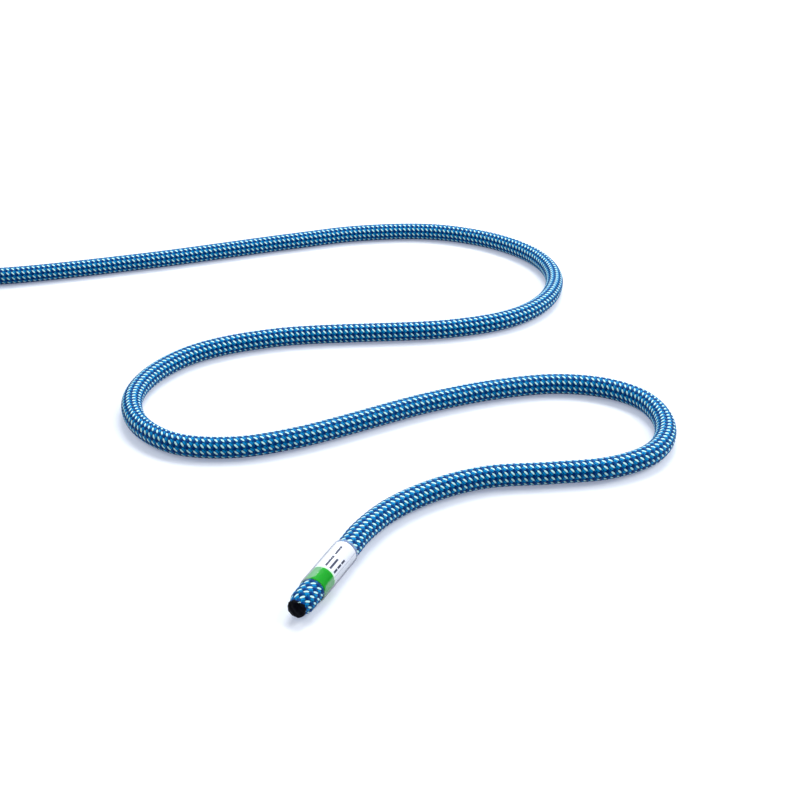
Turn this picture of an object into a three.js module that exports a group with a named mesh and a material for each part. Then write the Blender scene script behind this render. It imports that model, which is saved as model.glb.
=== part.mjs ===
// Dynamic climbing rope: one length of kernmantle rope, sealed and labelled at both ends.
// About a metre and a half lies loose in S curves. The rest is wound into a round coil, four layers
// deep, that four storage ties hold together. Millimetres, +Z up, standing on z = 0, with the origin
// under the middle of the whole rope.

import * as THREE from 'three';

// ---------------------------------------------------------------- driving dimensions

const ROPE_LENGTH = 30000;          // from sealed end to sealed end
const ROPE_DIAMETER = 10.5;
const SHEATH_WALL = 1.1;
const STRANDS_AROUND = 6;           // core strands round the middle one
const CORE_CLEARANCE = 0.28;        // strand to strand, and strand to sheath
const BUTT_GAP = 0.3;               // between faces that meet, and under what lies on the floor

const SEAL_THICKNESS = 1.9;         // the melted end, from the sheath's edge to the crown
const SEAL_DIAMETER = 9.5;
const SEAL_RIM = 0.7;               // height of its straight side

const LABEL_LENGTH = 29.5;
const LABEL_FROM_END = 15;          // bare braid between the rope's very end and the label
const LABEL_WALL = 0.15;
const SLEEVE_LENGTH = 32.5;         // the clear film over the label
const SLEEVE_WALL = 0.2;
const WRAP_CLEARANCE = 0.25;        // rope to label, and label to sleeve

const LAYERS = 4;
const TURNS_PER_LAYER = 6;
const TURN_GAP = 0.45;              // between neighbouring turns, across and up
const END_SHIFT = 1.4;              // how far the labelled end of the last turn stands out

const TIE_COUNT = 4;
const TIE_WIDTH = 20;
const TIE_THICKNESS = 1;
const TIE_CLEARANCE = 0.4;          // tie to rope, round the bundle
const TIE_CORNER = 3;               // inner radius where a tie bends round the bundle
const TIE_OVERLAP = 38;             // the doubled length on top, where a tie closes on itself

// Facets
const ROPE_SIDES = 12;
const BORE_SIDES = 8;
const STRAND_SIDES = 6;
const COIL_SIDES = 6;
const STEPS_PER_TURN = 24;
const SEAL_SEGMENTS = 16;
const CORNER_SEGMENTS = 3;
const STEP_LENGTH = 2.4 * ROPE_DIAMETER;

// The free run's route over the floor, from the labelled end to the coil. The labelled end lies
// straight: its points follow from where the sealed end is and which way the rope leads from it.
const END_POINT = [-42.4, 446.6];
const END_HEADING = THREE.MathUtils.degToRad(66);
const END_STATIONS = [24.5, 49, 61];
const LOOSE_POINTS = [
  [-4.5, 522], [15.5, 538.5], [39.5, 549.5], [71.5, 553], [99.5, 557.5],
  [120.5, 570], [130, 587], [131.5, 607.5], [124.5, 626.5], [108.5, 639.5],
  [83.5, 645], [51.5, 639.5], [15.5, 625.5], [-52.5, 588.5], [-82, 580],
  [-109.5, 584], [-130, 602.5], [-139, 630], [-133.5, 659], [-113, 686.5],
  [-70.5, 706], [30.5, 716.5], [65, 730], [85.5, 751.5], [95.5, 779],
  [95, 806], [84, 832.5], [60, 857], [23.5, 873], [-25, 872],
  [-72.5, 857.5], [-165, 824.5], [-251.5, 801.5],
];
const COIL_APPROACH = [[-277, 801], [-299, 812], [-306, 818]];

// ---------------------------------------------------------------- sizes that follow

const ROPE_RADIUS = ROPE_DIAMETER / 2;
const BORE_RADIUS = ROPE_RADIUS - SHEATH_WALL;
const BORE_INRADIUS = BORE_RADIUS * Math.cos(Math.PI / BORE_SIDES);

// Strands of one size, side by side round the middle one, fill the bore.
const ORBIT_SHARE = Math.max(1, 1 / (2 * Math.sin(Math.PI / STRANDS_AROUND)));
const STRAND_RADIUS = (BORE_INRADIUS - (1 + ORBIT_SHARE) * CORE_CLEARANCE) / (1 + 2 * ORBIT_SHARE);
const STRAND_ORBIT = ORBIT_SHARE * (2 * STRAND_RADIUS + CORE_CLEARANCE);

const LABEL_INNER = ROPE_RADIUS + WRAP_CLEARANCE;
const LABEL_OUTER = LABEL_INNER + LABEL_WALL;
const SLEEVE_INNER = LABEL_OUTER + WRAP_CLEARANCE;
const SLEEVE_OUTER = SLEEVE_INNER + SLEEVE_WALL;
const SLEEVE_FROM_END = LABEL_FROM_END - (SLEEVE_LENGTH - LABEL_LENGTH) / 2;

const RUN_HEIGHT = BUTT_GAP + ROPE_RADIUS;                   // centre of the rope on the floor
const COIL_FLAT = ROPE_RADIUS * Math.cos(Math.PI / COIL_SIDES);
const COIL_HEIGHT = TIE_THICKNESS + BUTT_GAP + COIL_FLAT;    // centre of the lowest turns
const TURN_PITCH = ROPE_DIAMETER + TURN_GAP;
const TURNS = LAYERS * TURNS_PER_LAYER;
const CHORD = Math.cos(Math.PI / STEPS_PER_TURN);            // a chord's middle over its ends' radius
const LEAD = ROPE_DIAMETER;                                  // straight at each end of the coil

const UP = new THREE.Vector3(0, 0, 1);

// ---------------------------------------------------------------- materials

const finish = (color, roughness, more = {}) => new THREE.MeshStandardMaterial({ color, roughness, ...more });
const SHEATH_YARN = finish(0x1d6fb4, 0.75);
const CORE_YARN = finish(0xe9e7df, 0.8);
const MELTED_NYLON = finish(0x15161a, 0.5);
const LABEL_PAPER = finish(0xf2f3f5, 0.55);
const CLEAR_FILM = finish(0xdfe9ee, 0.12, { transparent: true, opacity: 0.35 });
const TIE_WEBBING = finish(0x23262b, 0.85);

// ---------------------------------------------------------------- helpers

const part = new THREE.Group();

function addMesh(name, geometry, material, parent = part) {
  const mesh = new THREE.Mesh(geometry, material);
  mesh.name = name;
  parent.add(mesh);
  return mesh;
}

function polygonPoints(radius, sides, x = 0, y = 0) {
  return Array.from({ length: sides }, (_, k) => {
    const angle = (2 * Math.PI * k) / sides;
    return new THREE.Vector2(x + radius * Math.cos(angle), y + radius * Math.sin(angle));
  });
}

function ringShape(outer, outerSides, inner, innerSides) {
  const shape = new THREE.Shape(polygonPoints(outer, outerSides));
  shape.holes.push(new THREE.Path(polygonPoints(inner, innerSides)));
  return shape;
}

function sweep(shape, path, steps) {
  return new THREE.ExtrudeGeometry(shape, { steps, extrudePath: path, bevelEnabled: false });
}

/** A wrap round the straight line from one point to another. */
function wrapBetween(from, to, inner, outer) {
  return sweep(ringShape(outer, ROPE_SIDES, inner, ROPE_SIDES), new THREE.LineCurve3(from, to), 1);
}

// ---------------------------------------------------------------- the rope's sealed, labelled ends

/** The melted crown: its flat side is at the origin and its crown is up the Y axis. */
function sealGeometry() {
  const radius = SEAL_DIAMETER / 2;
  const profile = [[0, 0], [radius, 0], [radius, SEAL_RIM]];
  for (const share of [0.85, 0.6, 0.3]) {
    const rise = (SEAL_THICKNESS - SEAL_RIM) * Math.sqrt(1 - share * share);
    profile.push([radius * share, SEAL_RIM + rise]);
  }
  profile.push([0, SEAL_THICKNESS]);
  return new THREE.LatheGeometry(profile.map(([x, y]) => new THREE.Vector2(x, y)), SEAL_SEGMENTS);
}

/** A sealed end with its flat side at `seat` and its crown towards `outward`. */
function addSeal(letter, seat, outward) {
  const seal = addMesh(`sealed_end_${letter}`, sealGeometry(), MELTED_NYLON);
  seal.position.copy(seat);
  seal.quaternion.setFromUnitVectors(new THREE.Vector3(0, 1, 0), outward);
}

/** A label and its clear sleeve. The rope leads `inward` from `start`, which is `fromEnd` from its very end. */
function addLabel(letter, start, fromEnd, inward) {
  const at = (distance) => start.clone().addScaledVector(inward, distance - fromEnd);
  const labelEnd = LABEL_FROM_END + LABEL_LENGTH;
  addMesh(`label_${letter}`, wrapBetween(at(LABEL_FROM_END), at(labelEnd), LABEL_INNER, LABEL_OUTER), LABEL_PAPER);
  const sleeveEnd = SLEEVE_FROM_END + SLEEVE_LENGTH;
  const sleeve = wrapBetween(at(SLEEVE_FROM_END), at(sleeveEnd), SLEEVE_INNER, SLEEVE_OUTER);
  addMesh(`clear_sleeve_${letter}`, sleeve, CLEAR_FILM);
}

// ---------------------------------------------------------------- the free run

const endDirection = new THREE.Vector3(Math.cos(END_HEADING), Math.sin(END_HEADING), 0);
const ropeEnd = new THREE.Vector3(...END_POINT, SLEEVE_OUTER);   // the sleeve lies on the floor

/** The route of the sheath and core, from the cut behind the sealed end to the coil. */
function freeRoute() {
  const points = [SEAL_THICKNESS + BUTT_GAP, ...END_STATIONS]
    .map((distance) => ropeEnd.clone().addScaledVector(endDirection, distance));
  for (const [x, y] of LOOSE_POINTS) points.push(new THREE.Vector3(x, y, RUN_HEIGHT));
  for (const [x, y] of COIL_APPROACH) points.push(new THREE.Vector3(x, y, COIL_HEIGHT));
  const line = new THREE.CatmullRomCurve3(points, false, 'centripetal');
  line.arcLengthDivisions = 2000;
  return line;
}

const route = freeRoute();
const steps = Math.round(route.getLength() / STEP_LENGTH);

const sheathSection = ringShape(ROPE_RADIUS, ROPE_SIDES, BORE_RADIUS, BORE_SIDES);
addMesh('sheath_free_run', sweep(sheathSection, route, steps), SHEATH_YARN);

const strandCentres = [new THREE.Vector2(), ...polygonPoints(STRAND_ORBIT, STRANDS_AROUND)];
strandCentres.forEach(({ x, y }, index) => {
  const section = new THREE.Shape(polygonPoints(STRAND_RADIUS, STRAND_SIDES, x, y));
  addMesh(`core_strand_${index + 1}`, sweep(section, route, steps), CORE_YARN);
});

addSeal('a', ropeEnd.clone().addScaledVector(endDirection, SEAL_THICKNESS), endDirection.clone().negate());
addLabel('a', ropeEnd, 0, endDirection);

// ---------------------------------------------------------------- the coil

/** The coil's lead-in, its turns and its straight far end, as one line of section centres. */
class CoilWinding {
  constructor(start, heading, length) {
    this.start = start;
    this.turns = TURNS - 1 / STEPS_PER_TURN;
    const meanRadius = (length - 2 * LEAD) / (2 * Math.PI * this.turns);
    this.outerRadius = meanRadius + (TURNS_PER_LAYER * TURN_PITCH) / 2;
    this.innerRadius = this.outerRadius - TURNS_PER_LAYER * TURN_PITCH;

    const level = heading.clone().setZ(0).normalize();
    const toCentre = new THREE.Vector3().crossVectors(UP, level);
    this.centre = start.clone().addScaledVector(level, LEAD).addScaledVector(toCentre, this.outerRadius).setZ(0);
    this.startAngle = Math.atan2(-toCentre.y, -toCentre.x);
  }

  /** Distance from the coil's axis: in and out again at a steady rate, and the labelled end stands out. */
  radius(turns) {
    const phase = turns % (2 * TURNS_PER_LAYER);
    const inward = Math.min(phase, 2 * TURNS_PER_LAYER - phase);
    const step = 1 / STEPS_PER_TURN;
    const labelled = THREE.MathUtils.smoothstep(turns, this.turns - 3 * step, this.turns - step);
    return this.outerRadius - TURN_PITCH * inward + END_SHIFT * labelled;
  }

  /** Height of the rope's centre: a layer is climbed in the half turn round each reversal. */
  height(turns) {
    let layer = 0;
    for (let k = 1; k < LAYERS; k += 1) {
      const share = THREE.MathUtils.clamp((turns - k * TURNS_PER_LAYER) * 2 + 0.5, 0, 1);
      layer += (1 - Math.cos(Math.PI * share)) / 2;
    }
    return COIL_HEIGHT + layer * TURN_PITCH;
  }

  outward(turns) {
    const angle = this.startAngle + 2 * Math.PI * turns;
    return new THREE.Vector3(Math.cos(angle), Math.sin(angle), 0);
  }

  point(turns) {
    return this.centre.clone().addScaledVector(this.outward(turns), this.radius(turns)).setZ(this.height(turns));
  }

  /** Where the straight far end leads: square to the section that the last turn ends with. */
  endDirection() {
    return new THREE.Vector3().crossVectors(UP, this.outward(this.turns)).normalize();
  }

  farEnd() {
    return this.point(this.turns).addScaledVector(this.endDirection(), LEAD);
  }

  /** Each section's centre and the way outwards from the coil's axis there. */
  stations() {
    const stations = [{ centre: this.start, outward: this.outward(0) }];
    const count = Math.round(this.turns * STEPS_PER_TURN);
    for (let k = 0; k <= count; k += 1) {
      const turns = k / STEPS_PER_TURN;
      stations.push({ centre: this.point(turns), outward: this.outward(turns) });
    }
    stations.push({ centre: this.farEnd(), outward: this.outward(this.turns) });
    return stations;
  }

  /** The least clear distance from the rope's surface to itself, from points along its centre. */
  leastGap(perTurn) {
    const count = Math.floor(this.turns * perTurn);
    const points = Array.from({ length: count + 1 }, (_, k) => this.point(k / perTurn));
    let least = Infinity;
    for (let i = 0; i <= count; i += 1) {
      for (let j = i + Math.round(perTurn / 2); j <= count; j += 1) {
        least = Math.min(least, points[i].distanceToSquared(points[j]));
      }
    }
    return Math.sqrt(least) - ROPE_DIAMETER;
  }
}

/** One unbroken faceted tube through the stations, closed at both ends. */
function tubeThrough(stations, radius, sides) {
  const positions = [];
  for (const { centre, outward } of stations) {
    for (const corner of polygonPoints(radius, sides)) {
      const point = centre.clone().addScaledVector(outward, corner.x).addScaledVector(UP, corner.y);
      positions.push(point.x, point.y, point.z);
    }
  }
  const triangles = [];
  const last = (stations.length - 1) * sides;
  for (let ring = 0; ring < last; ring += sides) {
    for (let k = 0; k < sides; k += 1) {
      const next = (k + 1) % sides;
      triangles.push(ring + k, ring + sides + k, ring + next);
      triangles.push(ring + next, ring + sides + k, ring + sides + next);
    }
  }
  for (let k = 1; k < sides - 1; k += 1) {
    triangles.push(0, k, k + 1);
    triangles.push(last, last + k + 1, last + k);
  }
  const geometry = new THREE.BufferGeometry();
  geometry.setAttribute('position', new THREE.Float32BufferAttribute(positions, 3));
  geometry.setIndex(triangles);
  return geometry;
}

const approach = route.getTangent(1).setZ(0).normalize();
const coilStart = route.getPoint(1).addScaledVector(approach, BUTT_GAP);
const freeLength = SEAL_THICKNESS + BUTT_GAP + route.getLength();
const coilLength = ROPE_LENGTH - freeLength - 2 * BUTT_GAP - SEAL_THICKNESS;
const coil = new CoilWinding(coilStart, approach, coilLength);
addMesh('coil', tubeThrough(coil.stations(), ROPE_RADIUS, COIL_SIDES), SHEATH_YARN);

// The second label sits on the last chord of the last turn, and the sealed end closes the straight end.
addSeal('b', coil.farEnd().addScaledVector(coil.endDirection(), BUTT_GAP), coil.endDirection());
const chordEnd = coil.point(coil.turns);
const alongChord = coil.point(coil.turns - 1 / STEPS_PER_TURN).sub(chordEnd).normalize();
addLabel('b', chordEnd, LEAD + BUTT_GAP + SEAL_THICKNESS, alongChord);

// ---------------------------------------------------------------- the storage ties

const tieInner = (coil.innerRadius - ROPE_RADIUS) * CHORD - TIE_CLEARANCE;
const tieOuter = (coil.outerRadius + ROPE_RADIUS) * CHORD + TIE_CLEARANCE;
const tieTop = COIL_HEIGHT + (LAYERS - 1) * TURN_PITCH + COIL_FLAT + TIE_CLEARANCE;

/** Four sides with round corners, anticlockwise, with further points on the way along the top. */
function roundedSides(path, x0, y0, x1, y1, radius, alongTop = []) {
  path.moveTo(x0 + radius, y0);
  path.lineTo(x1 - radius, y0);
  path.absarc(x1 - radius, y0 + radius, radius, -Math.PI / 2, 0, false);
  path.lineTo(x1, y1 - radius);
  path.absarc(x1 - radius, y1 - radius, radius, 0, Math.PI / 2, false);
  for (const [x, y] of alongTop) path.lineTo(x, y);
  path.absarc(x0 + radius, y1 - radius, radius, Math.PI / 2, Math.PI, false);
  path.lineTo(x0, y0 + radius);
  path.absarc(x0 + radius, y0 + radius, radius, Math.PI, 1.5 * Math.PI, false);
  return path;
}

/** A strap bent round the bundle: x runs outwards from the coil's axis and y runs up. */
function tieShape() {
  const outerCorner = TIE_CORNER + TIE_THICKNESS;
  const [x0, x1, y1] = [tieInner - TIE_THICKNESS, tieOuter + TIE_THICKNESS, tieTop + TIE_THICKNESS];
  const lapEnd = x1 - outerCorner - TIE_CORNER;
  const lapStart = lapEnd - TIE_OVERLAP;
  const lap = [[lapEnd, y1], [lapEnd, y1 + TIE_THICKNESS], [lapStart, y1 + TIE_THICKNESS], [lapStart, y1]];
  const shape = roundedSides(new THREE.Shape(), x0, 0, x1, y1, outerCorner, lap);
  shape.holes.push(roundedSides(new THREE.Path(), tieInner, TIE_THICKNESS, tieOuter, tieTop, TIE_CORNER));
  return shape;
}

const firstTie = 1.5 / STEPS_PER_TURN;   // over the middle of a chord, clear of the labelled end
const strapSettings = { depth: TIE_WIDTH, bevelEnabled: false, curveSegments: CORNER_SEGMENTS };
for (let index = 0; index < TIE_COUNT; index += 1) {
  const place = new THREE.Group();
  place.position.copy(coil.centre);
  place.rotation.z = coil.startAngle + 2 * Math.PI * (firstTie + index / TIE_COUNT);
  part.add(place);
  const strap = new THREE.ExtrudeGeometry(tieShape(), strapSettings);
  const tie = addMesh(`storage_tie_${index + 1}`, strap, TIE_WEBBING, place);
  tie.rotation.x = Math.PI / 2;
  tie.position.y = TIE_WIDTH / 2;
}

// ---------------------------------------------------------------- origin

part.updateMatrixWorld(true);
const middle = new THREE.Box3().setFromObject(part).getCenter(new THREE.Vector3());
part.position.set(-middle.x, -middle.y, 0);
part.updateMatrixWorld(true);

console.log(`free run ${freeLength.toFixed(1)} mm, coil ${coilLength.toFixed(1)} mm`);
console.log(`outer turn's radius ${coil.outerRadius.toFixed(1)} mm`);
console.log(`least gap of the coil to itself ${coil.leastGap(STEPS_PER_TURN * 4).toFixed(3)} mm`);

export default part;
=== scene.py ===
"""Looks of a dynamic climbing rope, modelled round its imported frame.

The sheath is a braid of forty yarns that lie in pairs: each crossing is one raised diamond of two
yarns. The loose run has that braid as real relief, and the stored coil carries it as a bump. Both
ends are melted, labelled and covered by a clear sleeve, and four straps hold the coil.
"""

from __future__ import annotations

import logging
import math
from dataclasses import dataclass
from enum import Enum
from typing import Any, Callable, Optional, Union

import bpy
import numpy as np
from mathutils import Matrix, Vector

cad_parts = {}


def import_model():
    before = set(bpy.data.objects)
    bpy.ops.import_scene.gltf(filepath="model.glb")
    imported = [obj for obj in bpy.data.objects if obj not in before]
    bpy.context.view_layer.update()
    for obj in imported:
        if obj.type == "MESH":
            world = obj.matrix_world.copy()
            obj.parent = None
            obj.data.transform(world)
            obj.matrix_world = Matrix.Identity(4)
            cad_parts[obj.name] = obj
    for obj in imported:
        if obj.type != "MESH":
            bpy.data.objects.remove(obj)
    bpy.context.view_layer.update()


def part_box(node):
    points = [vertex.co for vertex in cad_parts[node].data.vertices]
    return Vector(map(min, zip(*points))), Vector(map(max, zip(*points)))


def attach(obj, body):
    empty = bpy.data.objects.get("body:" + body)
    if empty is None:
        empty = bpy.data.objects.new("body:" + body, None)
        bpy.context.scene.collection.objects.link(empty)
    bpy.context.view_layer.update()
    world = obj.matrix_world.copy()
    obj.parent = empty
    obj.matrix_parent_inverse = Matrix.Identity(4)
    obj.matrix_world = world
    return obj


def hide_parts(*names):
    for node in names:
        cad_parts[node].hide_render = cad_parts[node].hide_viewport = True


LOG = logging.getLogger("climbing_rope")
MM = 0.001
Colour = tuple[float, float, float]
Point = tuple[float, float, float]
Span = tuple[float, float]

# ------------------------------------------------------------------ the rope's sizes, in metres

ROPE_LENGTH = 30.0
ROPE_DIAMETER = 10.5 * MM
ROPE_RADIUS = ROPE_DIAMETER / 2
BUTT_GAP = 0.3 * MM
SEAL_THICKNESS = 1.9 * MM
LABEL_LENGTH = 29.5 * MM
LABEL_FROM_END = 15 * MM
SLEEVE_LENGTH = 32.5 * MM
LABEL_INNER = ROPE_RADIUS + 0.25 * MM
LABEL_OUTER = LABEL_INNER + 0.15 * MM
SLEEVE_INNER = LABEL_OUTER + 0.25 * MM
SLEEVE_OUTER = SLEEVE_INNER + 0.2 * MM
SLEEVE_FROM_END = LABEL_FROM_END - (SLEEVE_LENGTH - LABEL_LENGTH) / 2

# The loose run's route over the floor, from the labelled end to the coil, seen from the camera's foot.
END_POINT = (-0.0424, 0.4466)
END_HEADING = math.radians(66)
END_STATIONS = (0.0245, 0.049, 0.061)
LOOSE_POINTS = (
    (-0.0045, 0.522), (0.0155, 0.5385), (0.0395, 0.5495), (0.0715, 0.553), (0.0995, 0.5575),
    (0.1205, 0.57), (0.13, 0.587), (0.1315, 0.6075), (0.1245, 0.6265), (0.1085, 0.6395),
    (0.0835, 0.645), (0.0515, 0.6395), (0.0155, 0.6255), (-0.0525, 0.5885), (-0.082, 0.58),
    (-0.1095, 0.584), (-0.13, 0.6025), (-0.139, 0.63), (-0.1335, 0.659), (-0.113, 0.6865),
    (-0.0705, 0.706), (0.0305, 0.7165), (0.065, 0.73), (0.0855, 0.7515), (0.0955, 0.779),
    (0.095, 0.806), (0.084, 0.8325), (0.06, 0.857), (0.0235, 0.873), (-0.025, 0.872),
    (-0.0725, 0.8575), (-0.165, 0.8245), (-0.2515, 0.8015),
)
COIL_APPROACH = ((-0.277, 0.801), (-0.299, 0.812), (-0.306, 0.818))
RUN_HEIGHT = BUTT_GAP + ROPE_RADIUS

LAYERS = 4
TURNS_PER_LAYER = 6
TURN_GAP = 0.45 * MM
TURN_PITCH = ROPE_DIAMETER + TURN_GAP
STEPS_PER_TURN = 24
END_SHIFT = 1.4 * MM  # the last turn's end moves out, so that its sleeve clears the turn beside it
TIE_COUNT = 4
TIE_WIDTH = 20 * MM
TIE_THICKNESS = 1 * MM
TIE_CLEARANCE = 0.4 * MM
TIE_OVERLAP = 38 * MM
COIL_HEIGHT = TIE_THICKNESS + BUTT_GAP + ROPE_RADIUS * math.cos(math.pi / 6)
LEAD = ROPE_DIAMETER  # each of the coil's two straight ends

UP = (0.0, 0.0, 1.0)
ON_FLOOR = (1, 1, 0)  # a place times this is the floor below it
SAMPLES_BETWEEN_POINTS = 120
SAMPLES_PER_TURN = 720

# ------------------------------------------------------------------ shader maths


def srgb(red: int, green: int, blue: int) -> Colour:
    """A colour as a screen shows it, as the linear numbers that shaders use.

    Args:
        red: The red level, from 0 to 255.
        green: The green level.
        blue: The blue level.

    Returns:
        The three linear numbers, from 0 to 1.
    """

    def linear(level: int) -> float:
        """One channel as a linear number."""
        share = level / 255
        return share / 12.92 if share <= 0.04045 else ((share + 0.055) / 1.055) ** 2.4

    return linear(red), linear(green), linear(blue)


def operator(operation: str, flipped: bool = False) -> Callable[["Value", "Number"], "Value"]:
    """One of Python's operators, as a Math node.

    Args:
        operation: The Math node's operation.
        flipped: Whether the other number comes first.

    Returns:
        A method of the Value class.
    """

    def combine(value: "Value", other: "Number") -> "Value":
        """The result of the two numbers."""
        pair = (other, value) if flipped else (value, other)
        return value.recipe.maths(operation, *pair)

    return combine


class Value:
    """A number in a material's nodes, so that shader maths is written as Python expressions."""

    __add__ = __radd__ = operator("ADD")
    __mul__ = __rmul__ = operator("MULTIPLY")
    __sub__ = operator("SUBTRACT")
    __rsub__ = operator("SUBTRACT", flipped=True)
    __truediv__ = operator("DIVIDE")
    __gt__ = operator("GREATER_THAN")
    __lt__ = operator("LESS_THAN")

    def __init__(self, recipe: "Recipe", socket: bpy.types.NodeSocket) -> None:
        """Wraps an output socket of the recipe's node tree."""
        self.recipe = recipe
        self.socket = socket

    def __abs__(self) -> "Value":
        """The number without its sign."""
        return self.recipe.maths("ABSOLUTE", self)

    def step(self, low: float, high: float) -> "Value":
        """A smooth step.

        Args:
            low: Where it is still 0.
            high: Where it has come to 1.

        Returns:
            The step's height.
        """
        node = self.recipe.node(
            "ShaderNodeMapRange",
            {"interpolation_type": "SMOOTHSTEP"},
            {"Value": self, "From Min": low, "From Max": high},
        )
        return Value(self.recipe, node.outputs["Result"])

    def between(self, low: float, high: float) -> "Value":
        """This number from 0 to 1, as one from low to high."""
        return self * (high - low) + low


Number = Union[float, Value]


class Recipe:
    """A material's nodes: one Principled shader and what feeds it."""

    def __init__(self, name: str, **shader: Any) -> None:
        """Starts a material.

        Args:
            name: The material's name.
            shader: The shader's plain settings, by name as drive() takes them.
        """
        self.material = bpy.data.materials.new(name)
        self.material.use_nodes = True
        self.tree = self.material.node_tree
        self.shader = self.tree.nodes["Principled BSDF"]
        self.drive(**shader)

    def drive(self, **inputs: Any) -> bpy.types.Material:
        """Feeds the shader.

        Args:
            inputs: Values by its sockets' names, with _ for each space.

        Returns:
            The material.
        """
        for key, value in inputs.items():
            self.feed(self.shader.inputs[key.replace("_", " ")], value)
        return self.material

    def node(
        self, kind: str, settings: Optional[dict] = None, inputs: Optional[dict] = None
    ) -> bpy.types.Node:
        """Adds one node.

        Args:
            kind: The node's type.
            settings: The node's own properties, which are set first.
            inputs: Values, links or colours by socket name or number.

        Returns:
            The new node.
        """
        made = self.tree.nodes.new(kind)
        for key, value in (settings or {}).items():
            setattr(made, key, value)
        for key, value in (inputs or {}).items():
            self.feed(made.inputs[key], value)
        return made

    def feed(self, socket: bpy.types.NodeSocket, value: Any) -> None:
        """Feeds one input.

        Args:
            socket: The input.
            value: A value or an output to link to it, or a plain number or colour to write on it.
        """
        if isinstance(value, Value):
            value = value.socket
        if isinstance(value, bpy.types.NodeSocket):
            self.tree.links.new(value, socket)
        elif isinstance(value, tuple) and len(value) == 3 and socket.type == "RGBA":
            socket.default_value = (*value, 1.0)
        else:
            socket.default_value = value

    def maths(self, operation: str, *values: Number) -> Value:
        """One Math node on numbers."""
        node = self.node("ShaderNodeMath", {"operation": operation}, dict(enumerate(values)))
        return Value(self, node.outputs[0])

    def mix(self, factor: Number, low: Any, high: Any) -> bpy.types.NodeSocket:
        """A colour between two colours."""
        inputs = {0: factor, 6: low, 7: high}
        return self.node("ShaderNodeMix", {"data_type": "RGBA"}, inputs).outputs[2]

    def scaled(self, colour: Any, by: Number) -> bpy.types.NodeSocket:
        """A colour times a number."""
        node = self.node("ShaderNodeVectorMath", {"operation": "SCALE"}, {0: colour, "Scale": by})
        return node.outputs["Vector"]

    def surface_place(self, layer: str) -> tuple[Value, Value]:
        """The two numbers of a piece's own UV map.

        Args:
            layer: The map's name.

        Returns:
            The first number and the second.
        """
        uv = self.node("ShaderNodeUVMap", {"uv_map": layer}).outputs[0]
        split = self.node("ShaderNodeSeparateXYZ", None, {0: uv})
        return Value(self, split.outputs[0]), Value(self, split.outputs[1])

    def wave(self, angle: Value) -> Value:
        """A sine wave, from 0 to 1."""
        return self.maths("SINE", angle) * 0.5 + 0.5

    def place(self) -> bpy.types.NodeSocket:
        """Object coordinates."""
        return self.node("ShaderNodeTexCoord").outputs["Object"]

    def noise(self, scale: float, detail: float) -> Value:
        """Noise on Object coordinates, from 0 to 1."""
        inputs = {"Vector": self.place(), "Scale": scale, "Detail": detail}
        return Value(self, self.node("ShaderNodeTexNoise", None, inputs).outputs[0])

    def distance(self) -> Value:
        """Distance from the object's origin, in metres."""
        length = self.node("ShaderNodeVectorMath", {"operation": "LENGTH"}, {0: self.place()})
        return Value(self, length.outputs["Value"])

    def bump(self, height: Value, depth: float) -> bpy.types.NodeSocket:
        """A normal from a height, where 1 stands that many metres high."""
        inputs = {"Height": height, "Distance": depth, "Strength": 1.0}
        return self.node("ShaderNodeBump", None, inputs).outputs[0]


# ------------------------------------------------------------------ finishes


class Relief(Enum):
    """Where a length of sheath has the shape of its yarns."""

    MODELLED = "modelled"
    BUMPED = "bumped"


@dataclass(frozen=True)
class Weave:
    """The braid: ten pairs of yarns wound each way, over one pair and under the next."""

    rows: int = 10
    pitch: float = 3.11 * MM
    tile_pitches: int = 10
    row_phase: float = math.radians(3)
    crown: float = 0.34 * MM
    crimp: float = 0.17 * MM
    half_yarn: float = 0.262
    yarn_offset: float = 0.25
    groove_radius: float = ROPE_RADIUS - 0.37 * MM

    def height(self, along: np.ndarray, angle: np.ndarray) -> np.ndarray:
        """How far the upper yarn stands above the grooves.

        Args:
            along: Distance along the rope.
            angle: Angle round it.

        Returns:
            Heights in metres, one for each place.
        """
        forward = along / self.pitch
        row = (angle - self.row_phase) * self.rows / (2 * math.pi)
        right, left = row - forward, row + forward
        right_row, left_row = np.round(right), np.round(left)
        inner_right, inner_left = right - right_row, left - left_row

        def yarn(across: np.ndarray, run: np.ndarray, sign: np.ndarray) -> np.ndarray:
            """Heights of the yarns that run one way."""
            aside = (np.abs(across) - self.yarn_offset) / self.half_yarn
            rounded = np.sqrt(np.clip(1 - aside * aside, 0, 1))
            return self.crown * rounded + self.crimp * sign * np.cos(math.pi * run)

        parity = 1 - 2 * np.mod(right_row + left_row, 2)
        first = yarn(inner_right, inner_left, parity)
        second = yarn(inner_left, inner_right, -parity)
        return np.maximum(first, second)


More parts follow.
